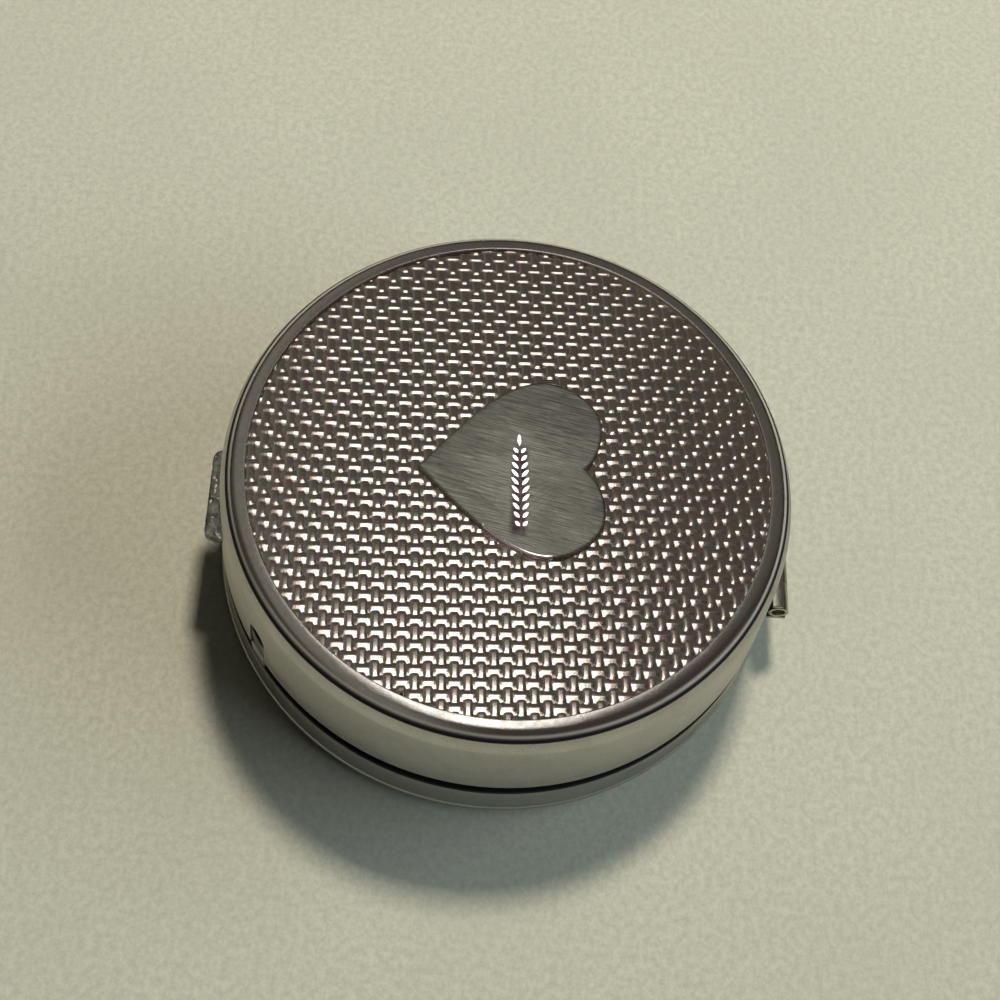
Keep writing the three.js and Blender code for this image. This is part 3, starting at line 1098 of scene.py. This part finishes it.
class CASE_OT_hinge_leaves(bpy.types.Operator):
    """Upper leaf on the lid and lower leaf on the base"""

    bl_idname = "jewelry_case.hinge_leaves"
    bl_label = "Hinge Leaves"

    def execute(self, context):
        self.leaf(upper_leaf, "upper_leaf", "lid", "lid_hinge_leaf")
        self.leaf(lower_leaf, "lower_leaf", "base", "base_hinge_leaf")
        return {"FINISHED"}

    def leaf(self, room, name, body, node):
        plate = block(room.low, room.high)
        round_edges(plate, 0.09 * MM, 3)
        finished(plate, name, body, [node], "worn plate")


class CASE_OT_knuckles(bpy.types.Operator):
    """Five rolled knuckles of the hinge barrel, each with the web to its leaf"""

    bl_idname = "jewelry_case.knuckles"
    bl_label = "Knuckles"

    def execute(self, context):
        for body, number in (("base", 1), ("lid", 1), ("base", 2), ("lid", 2), ("base", 3)):
            self.knuckle(body, number)
        return {"FINISHED"}

    def knuckle(self, body, number):
        node = f"{body}_knuckle_{number}"
        room = NodeBox(node)
        radius = room.size.y / 2
        web = 0.25 * MM
        left = Vector((room.low.x, *hinge_axis.yz))
        right = Vector((room.high.x, *hinge_axis.yz))
        overrun = Vector((MM, 0, 0))
        roll = bar(left, right, radius, 40)
        if body == "lid":
            low, high = hinge_axis.z, room.top
        else:
            low, high = room.foot, hinge_axis.z
        web_block = block((left.x, left.y - web, low), (right.x, right.y + web, high))
        combine(roll, web_block, "UNION")
        combine(roll, bar(left - overrun, right + overrun, radius - KNUCKLE_WALL, 32))
        round_edges(roll, 0.05 * MM, 2)
        name = f"{body}_roll_{number}"
        finished(roll, name, body, [node], "worn plate")


class CASE_OT_hinge_pin(bpy.types.Operator):
    """Hinge pin with rounded ends inside the barrel"""

    bl_idname = "jewelry_case.hinge_pin"
    bl_label = "Hinge Pin"

    def execute(self, context):
        rod = bar((pin.low.x, *hinge_axis.yz), (pin.high.x, *hinge_axis.yz), pin.size.y / 2, 32)
        round_edges(rod, 0.18 * MM, 4)
        finished(rod, "pin_rod", "base", ["hinge_pin"], "inner metal")
        return {"FINISHED"}


# Lid


class CASE_OT_lid_cup(bpy.types.Operator):
    """Drawn lid cup with the outlet notch and the notch round the hinge"""

    bl_idname = "jewelry_case.lid_cup"
    bl_label = "Lid Cup"

    def execute(self, context):
        sheet = sizes().sheet
        shoulder = 1.5 * MM
        edge = 0.09 * MM
        under = cup.top - sheet
        shoulder_r = rim.radius + 0.06 * MM
        shoulder_end = wall_radius(cup.top - shoulder)
        lean = (shoulder_end - shoulder_r) / shoulder
        inner_round = 0.5 * MM
        inner_top = shoulder_r - sheet
        foot_r = wall_radius(cup.foot)
        wall_steps = (9 * MM, 12 * MM)
        profile = [(0, under), (inner_top - inner_round, under), (inner_top, under - inner_round)]
        profile += [(wall_radius(z) - sheet, z) for z in (*reversed(wall_steps), cup.foot + edge)]
        profile += [(foot_r - sheet + edge, cup.foot)]
        profile += arc((foot_r - edge, cup.foot + edge), edge, -90, 0, 3)
        profile += [(wall_radius(z), z) for z in wall_steps]
        steps = 8
        for i in range(steps + 1):
            share = i / steps
            outward = sizes().flare * share + (2 * lean - sizes().flare) * share**2 / 2
            profile.append((shoulder_end - shoulder * outward, cup.top - shoulder * (1 - share)))
        profile += [(0, cup.top)]
        shell = turned(profile, closed=False)
        arch = OUTLET_WIDTH / 2
        near = cup.radius - 1.5 * MM
        far = cup.radius + 1.5 * MM
        combine(shell, outlet_bar(arch, OUTLET_Z, near, far, 64))
        slot = block((near, -arch, cup.foot - MM), (far, arch, OUTLET_Z))
        turn_whole(slot, OUTLET_ANGLE)
        combine(shell, slot)
        combine(shell, hinge_notch())
        finished(shell, "lid_cup", "lid", ["lid_shell"], "lid plate")
        return {"FINISHED"}


class CASE_OT_rim_roll(bpy.types.Operator):
    """Bright rolled rim: a nearly flat land inside and a full round outside"""

    bl_idname = "jewelry_case.rim_roll"
    bl_label = "Rolled Rim"

    def execute(self, context):
        inner_r = disc.radius - 0.2 * MM
        inner_edge = 0.10 * MM
        land_tilt = 12
        side_tilt = 77
        foot_height = 0.02 * MM
        across = math.sin(math.radians(land_tilt))
        upright = math.cos(math.radians(land_tilt))
        land_r = inner_r + inner_edge
        land_round = sizes().land_width / across
        land = arc((land_r, rim.top - land_round), land_round, 90, 90 - land_tilt, 6)
        end_r, end_z = land[-1]
        fall = upright - math.cos(math.radians(side_tilt))
        outer_round = (end_z - rim.foot - foot_height) / fall
        round_centre = (end_r - outer_round * across, end_z - outer_round * upright)
        profile = [(inner_r, rim.foot)]
        profile += arc((land_r, rim.top - inner_edge), inner_edge, 180, 98, 5)
        profile += land
        profile += arc(round_centre, outer_round, 90 - land_tilt, 90 - side_tilt, 14)[1:]
        profile += [(profile[-1][0], rim.foot)]
        ring = turned(profile)
        finished(ring, "rim_roll", "lid", ["rim_bead"], "bright rim")
        return {"FINISHED"}


# Embossed strands, in millimetres from their middle: (place, drop below the crest), first across the
# strand and then along it. A level strand lies along Y with a steeper flank towards +X; an upright
# one lies along X and dips towards +X.
LEVEL_STRAND = (
    ((-0.32, 0.024), (-0.14, 0.003), (0.02, 0.0), (0.10, 0.012), (0.20, 0.030), (0.34, 0.043)),
    ((-0.74, 0.033), (-0.48, 0.003), (-0.25, 0.0), (0.25, 0.0), (0.48, 0.003), (0.74, 0.033)),
)
UPRIGHT_STRAND = (
    ((-0.32, 0.019), (-0.19, 0.003), (-0.09, 0.0), (0.09, 0.0), (0.19, 0.003), (0.32, 0.019)),
    ((-0.72, 0.026), (-0.45, 0.010), (0.28, 0.0), (0.40, 0.004), (0.55, 0.034), (0.70, 0.056)),
)
PIT_DEPTH = 0.066 * MM
WEAVE_SHIFT = -0.6 * MM


class CASE_OT_weave_disc(bpy.types.Operator):
    """Disc of embossed basket weave: crowned pads over and under by turns"""

    bl_idname = "jewelry_case.weave_disc"
    bl_label = "Woven Disc"

    def execute(self, context):
        pitch = sizes().weave_pitch
        level = self.strand_pad(*LEVEL_STRAND, 0.30 * MM, 0.30 * MM)
        corners = len(level.data.vertices)
        upright = self.strand_pad(*UPRIGHT_STRAND, 0.14 * MM, 0.26 * MM)
        edit_all(upright)
        turn_selected(-math.pi / 2)
        move(x=pitch)
        leave_edit()
        pair = join([level, upright])
        second = copy_of(pair)
        edit_all(second)
        move(x=pitch, y=pitch)
        leave_edit()
        unit = join([pair, second])
        count = 2 * math.ceil(disc.radius / (2 * pitch)) + 2
        for axis in (0, 1):
            step = [0.0, 0.0, 0.0]
            step[axis] = 2 * pitch
            modify(
                unit,
                "ARRAY",
                count=count,
                use_relative_offset=False,
                use_constant_offset=True,
                constant_offset_displace=step,
            )
        edit_all(unit)
        back = (count / 2 - 0.5) * 2 * pitch
        move(x=-back, y=WEAVE_SHIFT - back)
        turn_selected(sizes().pattern_turn)
        leave_edit()
        weave = self.trimmed(unit, corners)
        ground_depth = PIT_DEPTH - 0.002 * MM
        ground = disc.top - ground_depth
        whole = join([weave, cone(disc.foot, ground, disc.radius, disc.radius)])
        finished(whole, "weave_disc", "lid", ["woven_panel"], "woven metal", 60)
        return {"FINISHED"}

    def strand_pad(self, across, along, side_skirt, end_skirt):
        """Pad where one strand passes over: rows each way of (place, drop), then sloping skirts"""
        cells = len(across) - 1
        select_none()
        bpy.ops.mesh.primitive_grid_add(x_subdivisions=cells, y_subdivisions=cells, size=2)
        obj = bpy.context.object
        edit(obj)
        for axis, rows in ((0, across), (1, along)):
            for i, (place, drop) in enumerate(rows):
                row = 2 * i / cells - 1
                choose_place(lambda co: abs(co[axis] - row) < 0.1 / cells)
                shift = [0.0, 0.0]
                shift[axis] = place * MM - row
                move(*shift, -drop * MM)
        foot = -PIT_DEPTH
        choose("EDGE", lambda line: line.is_boundary)
        pull_out((0, 0, 0))
        stretch((1, 1, 0))
        move(z=foot)
        for axis, rows, skirt in ((0, across, side_skirt), (1, along, end_skirt)):
            for side, limit in ((-1, -rows[0][0] * MM), (1, rows[-1][0] * MM)):
                choose_place(lambda co: co.z < foot + NOTHING and side * co[axis] > limit - NOTHING)
                shift = [0.0, 0.0]
                shift[axis] = side * skirt
                move(*shift)
        choose("EDGE", lambda line: line.is_boundary)
        bpy.ops.mesh.edge_face_add()
        bpy.ops.mesh.select_all(action="SELECT")
        move(z=disc.top)
        face_outwards()
        return obj

    def trimmed(self, weave, corners):
        """The weave cut to a round: pads outside it go, and those across its edge are cut"""
        spots = [vert.co.xy.length for vert in weave.data.vertices]
        pads = [spots[i : i + corners] for i in range(0, len(spots), corners)]
        across = {i for i, radii in enumerate(pads) if min(radii) <= disc.radius < max(radii)}
        edit(weave)
        choose("VERT", lambda vert: vert.index // corners in across)
        bpy.ops.mesh.separate(type="SELECTED")
        choose("VERT", lambda vert: vert.co.xy.length > disc.radius)
        bpy.ops.mesh.delete(type="VERT")
        leave_edit()
        edge = next(obj for obj in bpy.context.selected_objects if obj != weave)
        edit(edge)
        sides = 72
        for i in range(sides):
            angle = 2 * math.pi * i / sides
            out = Vector((math.cos(angle), math.sin(angle), 0))
            bpy.ops.mesh.select_all(action="SELECT")
            edge_place = out * disc.radius
            bpy.ops.mesh.bisect(plane_co=edge_place, plane_no=out, use_fill=True, clear_outer=True)
        leave_edit()
        return join([weave, edge])


# One half of the heart: (share of the half width, share of the length measured from the tip)
HEART_HALF = (
    ((0, 0), (0.31, 0.161), (0.976, 0.425), (1.0, 0.675)),
    ((1.0, 0.675), (1.0, 0.82), (0.774, 1.0), (0.488, 1.0)),
    ((0.488, 1.0), (0.274, 1.0), (0.083, 0.959), (0, 0.896)),
)


def on_bezier(points, share):
    """Point of a cubic curve at a share of its run"""
    a, b, c, d = (Vector(point) for point in points)
    rest = 1 - share
    return a * rest**3 + b * 3 * rest**2 * share + c * 3 * rest * share**2 + d * share**3


LEAF_WIDTH = 0.34 * MM
LEAF_SETBACK = 0.12 * MM
LEAF_SPREAD = math.radians(40)
LEAF_SLOPE = math.radians(11)


class CASE_OT_heart(bpy.types.Operator):
    """Brushed heart plaque with a bright-cut sprig across it"""

    bl_idname = "jewelry_case.heart"
    bl_label = "Heart Plaque"

    def execute(self, context):
        length = 15.9 * MM
        width = 16.8 * MM
        steps = 16
        half = []
        for curve in HEART_HALF:
            half += [on_bezier(curve, i / steps) for i in range(steps)]
        outline = [(p.x * width / 2, (p.y - 0.5) * length, heart.foot) for p in half]
        cleft = HEART_HALF[-1][-1]
        outline += [(cleft[0], (cleft[1] - 0.5) * length, heart.foot)]
        outline += [(-x, y, z) for x, y, z in reversed(outline[1:-1])]
        rise = 0.035 * MM
        plaque = raised(outline, heart.height - rise)
        bpy.ops.mesh.inset(thickness=0.3 * MM, depth=0)
        move(z=rise)
        face_outwards()
        round_edges(plaque, 0.12 * MM, 3)
        for cutter in self.sprig():
            combine(plaque, cutter)
        turn_whole(plaque, sizes().pattern_turn)
        finished(
            plaque, "heart_plate", "lid", ["heart_plaque"], "brushed heart", 30
        )
        return {"FINISHED"}

    def sprig(self):
        """Cutters of a sprig: a thin stalk with pairs of slanting leaves, shorter towards both ends"""
        tip = -3.0 * MM
        foot = 6.3 * MM
        stalk_half = 0.05 * MM
        pairs = 10
        first_x = tip + 1.2 * MM
        last_x = foot - 0.4 * MM
        cuts = [bar((tip + 0.6 * MM, SPRIG_Y, heart.top), (foot, SPRIG_Y, heart.top), stalk_half, 12)]
        cuts.append(self.leaf(tip + 0.9 * MM, SPRIG_Y, math.pi, 1.3 * MM))
        for i in range(pairs):
            share = (i + 0.5) / pairs
            x = first_x + (last_x - first_x) * share
            length = (0.62 + 0.5 * math.sin(math.pi * share)) * MM
            for side in (-1, 1):
                y = SPRIG_Y + side * LEAF_SETBACK
                cuts.append(self.leaf(x, y, math.pi - side * LEAF_SPREAD, length))
        return cuts

    def leaf(self, x, y, angle, length):
        """One pointed leaf cut whose floor slopes down towards the near side"""
        widest = LEAF_WIDTH / 2
        shoulder = LEAF_WIDTH / 2.4
        side = [(0.3 * length, widest, 0), (0.6 * length, shoulder, 0)]
        other = [(0.6 * length, -shoulder, 0), (0.3 * length, -widest, 0)]
        tool = raised([(0, 0, 0), *side, (length, 0, 0), *other], 0.5 * MM)
        face_outwards()
        turn = Matrix.Rotation(LEAF_SLOPE, 3, "Y") @ Matrix.Rotation(angle, 3, "Z")
        middle = turn @ Vector((length / 2, 0, 0))
        reach = math.sin(LEAF_SLOPE) * (LEAF_WIDTH + length * abs(math.cos(angle))) / 2
        tool.rotation_euler = turn.to_euler()
        tool.location = (x, y, heart.top - middle.z - reach * 0.55)
        return settle(tool)


class CASE_OT_thumb_lip(bpy.types.Operator):
    """Thumb lip soldered to the lid, worn and slightly chipped along its outer edge"""

    bl_idname = "jewelry_case.thumb_lip"
    bl_label = "Thumb Lip"

    def execute(self, context):
        seat = wall_radius(lip.foot) + 0.06 * MM
        corner = 0.9 * MM
        plate = block((lip.low.x, lip.low.y, lip.foot), (lip.high.x, lip.high.y + MM, lip.top))
        edit(plate)
        choose(
            "EDGE",
            lambda line: all(vert.co.y < lip.low.y + NOTHING for vert in line.verts)
            and abs(line.verts[0].co.x - line.verts[1].co.x) < NOTHING,
        )
        bpy.ops.mesh.bevel(offset=corner, segments=8, affect="EDGES")
        leave_edit()
        low = lip.foot - MM
        high = lip.top + MM
        combine(plate, cone(low, high, seat, seat))
        round_edges(plate, 0.16 * MM, 3)
        self.wear(plate)
        finished(plate, "thumb_lip", "lid", ["thumb_lug"], "worn lip", 60)
        return {"FINISHED"}

    def wear(self, plate):
        """Uneven, chipped outline and a slightly dented top"""
        modify(plate, "REMESH", mode="VOXEL", voxel_size=0.085 * MM)
        edit(plate)
        depth = 0.4 * MM
        inner = -(wall_radius(lip.top) - depth)
        choose_place(lambda co: co.y < lip.low.y + depth)
        bpy.ops.transform.vertex_random(offset=0.07 * MM, uniform=1.0, normal=0.0, seed=4)
        choose_place(lambda co: co.y < inner)
        bpy.ops.transform.vertex_random(offset=0.022 * MM, uniform=1.0, normal=0.0, seed=9)
        bpy.ops.mesh.vertices_smooth(factor=0.5, repeat=2)
        for axis in (0, 1, 2):
            choose_place(lambda co: co[axis] < lip.low[axis])
            self.pull_back(axis, lip.low[axis])
        for axis in (0, 2):
            choose_place(lambda co: co[axis] > lip.high[axis])
            self.pull_back(axis, lip.high[axis])
        leave_edit()

    def pull_back(self, axis, limit):
        """Flattens what is selected on to the side of the lip's box"""
        shares = Vector((1, 1, 1))
        shares[axis] = 0
        centre = Vector((0, 0, 0))
        centre[axis] = limit
        stretch(shares, centre)


# Studio


CAMERA_PLACE = Vector((66.78, -9.11, 144.68)) * MM
CAMERA_AZIMUTH = math.radians(82.6)
CAMERA_ELEVATION = math.radians(63.348)
CAMERA_ROLL = math.radians(10.585)
CAMERA_LENS = 61.2
CAMERA_SENSOR = 36.0
FLOOR_SIZE = 1.6
FLOOR_GAP = 0.01 * MM

# Name, azimuth, elevation, distance, shift towards +Y, sides, power, colour, whether reflections
# show it and whether it lights rough surfaces
LAMPS = (
    ("Key", 168, 62, 0.6, 0.0, (0.085, 0.085), 3.63, (1.0, 0.90, 0.836), False, True),
    ("Window", 88, 26, 1.3, 0.0, (1.5, 0.8), 20.5, (0.75, 0.86, 1.0), False, True),
    ("Panel", 180, 82.85, 1.0, 0.04, (0.185, 0.43), 0.72, (1.0, 0.97, 0.93), True, False),
    ("Glow", 180, 67.9, 1.0, 0.04, (0.24, 0.10), 0.025, (1.0, 0.98, 0.95), True, False),
    ("Fill", 90, 80, 1.2, 0.0, (2.4, 2.4), 0.6, (0.86, 0.94, 1.0), False, True),
)

CEILING_BEHIND = (0.055, 0.042, 0.038, 1)
CEILING_AHEAD = (0.10, 0.092, 0.08, 1)
CEILING_LEFT = (0.19, 0.18, 0.16, 1)
HORIZON_AHEAD = (0.008, 0.008, 0.007, 1)
HORIZON_BEHIND = (0.34, 0.33, 0.28, 1)
BACKDROP = (0.56, 0.57, 0.46, 1)


def direction(azimuth, elevation):
    """Unit vector towards a place round the case: azimuth from +X towards +Y, in degrees"""
    azimuth, elevation = math.radians(azimuth), math.radians(elevation)
    flat = math.cos(elevation)
    return Vector((math.cos(azimuth) * flat, math.sin(azimuth) * flat, math.sin(elevation)))


class CASE_OT_studio(bpy.types.Operator):
    """Camera at the photograph's angle, paper floor, lamps and room light"""

    bl_idname = "jewelry_case.studio"
    bl_label = "Studio"

    def execute(self, context):
        scene = context.scene
        scene.view_settings.view_transform = "Standard"
        self.floor()
        self.camera(scene)
        for lamp in LAMPS:
            self.lamp(*lamp)
        self.room(scene)
        return {"FINISHED"}

    def floor(self):
        select_none()
        bpy.ops.mesh.primitive_plane_add(size=FLOOR_SIZE, location=(0, 0, -FLOOR_GAP))
        sheet = settle(bpy.context.object)
        edit_all(sheet)
        bpy.ops.mesh.subdivide(number_cuts=7)
        leave_edit()
        sheet.name = "paper_floor"
        sheet.data.materials.append(finish("paper"))

    def camera(self, scene):
        bpy.ops.object.camera_add()
        camera = bpy.context.object
        level = Vector((math.cos(CAMERA_AZIMUTH), math.sin(CAMERA_AZIMUTH), 0))
        flat = math.cos(CAMERA_ELEVATION)
        ahead = Vector((-level.y * flat, level.x * flat, -math.sin(CAMERA_ELEVATION)))
        up = level.cross(ahead)
        right = level * math.cos(CAMERA_ROLL) + up * math.sin(CAMERA_ROLL)
        top = up * math.cos(CAMERA_ROLL) - level * math.sin(CAMERA_ROLL)
        turn = Matrix((right, top, -ahead)).transposed()
        camera.matrix_world = Matrix.Translation(CAMERA_PLACE) @ turn.to_4x4()
        camera.name = "camera"
        camera.data.lens = CAMERA_LENS
        camera.data.sensor_width = CAMERA_SENSOR
        camera.data.clip_start = MM
        camera.data.clip_end = 20
        scene.camera = camera

    def lamp(self, name, azimuth, elevation, distance, shift, sides, power, colour, glossy, diffuse):
        """Rectangular soft lamp that looks at the case; its first side lies level"""
        towards = direction(azimuth, elevation)
        turn = towards.to_track_quat("Z", "Y").to_euler()
        bpy.ops.object.light_add(type="AREA", location=towards * distance, rotation=turn)
        lamp = bpy.context.object
        lamp.location.y += shift
        lamp.name = name
        lamp.data.shape = "RECTANGLE"
        lamp.data.size, lamp.data.size_y = sides
        lamp.data.energy = power
        lamp.data.color = colour
        lamp.visible_glossy = glossy
        lamp.visible_diffuse = diffuse
        lamp.visible_camera = False

    def room(self, scene):
        """Dim room whose ceiling is palest to the left and whose horizon is pale behind the camera

        The camera itself sees a plain pale backdrop.
        """
        world = scene.world or bpy.data.worlds.new("Room")
        scene.world = world
        world.use_nodes = True
        world.node_tree.nodes.clear()
        wire = Wiring(world.node_tree)
        towards = wire.add("SeparateXYZ", Vector=wire.add("TexCoord").outputs["Generated"]).outputs
        ahead = wire.spread(towards["X"], 0.0, -0.4)
        left = wire.times(wire.spread(towards["Y"], 0.0, -0.3), wire.spread(towards["Y"], -0.8, -0.5))
        ceiling = wire.mix_colour(ahead, CEILING_BEHIND, CEILING_AHEAD)
        ceiling = wire.mix_colour(left, ceiling, CEILING_LEFT)
        behind = wire.spread(towards["X"], -0.1, 0.5)
        horizon = wire.mix_colour(behind, HORIZON_AHEAD, HORIZON_BEHIND)
        sky = wire.mix_colour(wire.spread(towards["Z"], 0.1, 0.55), horizon, ceiling)
        rays = wire.add("LightPath").outputs
        sky = wire.mix_colour(rays["Is Camera Ray"], sky, BACKDROP)
        direct = wire.maths("MAXIMUM", rays["Is Glossy Ray"], rays["Is Camera Ray"])
        background = wire.add("Background", Color=sky, Strength=wire.spread(direct, 0.0, 1.0, 0.25, 1.0))
        wire.put(wire.add("OutputWorld"), "Surface", background)


class CASE_PT_panel(bpy.types.Panel):
    """Steps that build the case, in order"""

    bl_label = "Jewelry Case"
    bl_idname = "CASE_PT_panel"
    bl_space_type = "VIEW_3D"
    bl_region_type = "UI"
    bl_category = "Jewelry Case"

    def draw(self, context):
        layout = self.layout
        for name in CaseSizes.__annotations__:
            layout.prop(context.scene.case_sizes, name)
        for name in CaseFinishes.__annotations__:
            layout.prop(context.scene.case_finishes, name)
        for step in STEPS:
            layout.operator(step.bl_idname)


STEPS = (
    CASE_OT_studio,
    CASE_OT_base_wall,
    CASE_OT_bottom_dish,
    CASE_OT_neck,
    CASE_OT_outlet_closer,
    CASE_OT_velvet_pad,
    CASE_OT_hinge_leaves,
    CASE_OT_knuckles,
    CASE_OT_hinge_pin,
    CASE_OT_lid_cup,
    CASE_OT_rim_roll,
    CASE_OT_weave_disc,
    CASE_OT_heart,
    CASE_OT_thumb_lip,
)


def register():
    for group_class in (CaseSizes, CaseFinishes, *STEPS, CASE_PT_panel):
        bpy.utils.register_class(group_class)
    bpy.types.Scene.case_sizes = bpy.props.PointerProperty(type=CaseSizes)
    bpy.types.Scene.case_finishes = bpy.props.PointerProperty(type=CaseFinishes)


def unregister():
    del bpy.types.Scene.case_finishes
    del bpy.types.Scene.case_sizes
    for group_class in reversed((CaseSizes, CaseFinishes, *STEPS, CASE_PT_panel)):
        bpy.utils.unregister_class(group_class)


def main():
    register()
    for step in STEPS:
        module, name = step.bl_idname.split(".")
        getattr(getattr(bpy.ops, module), name)()


if __name__ == "__main__":
    main()
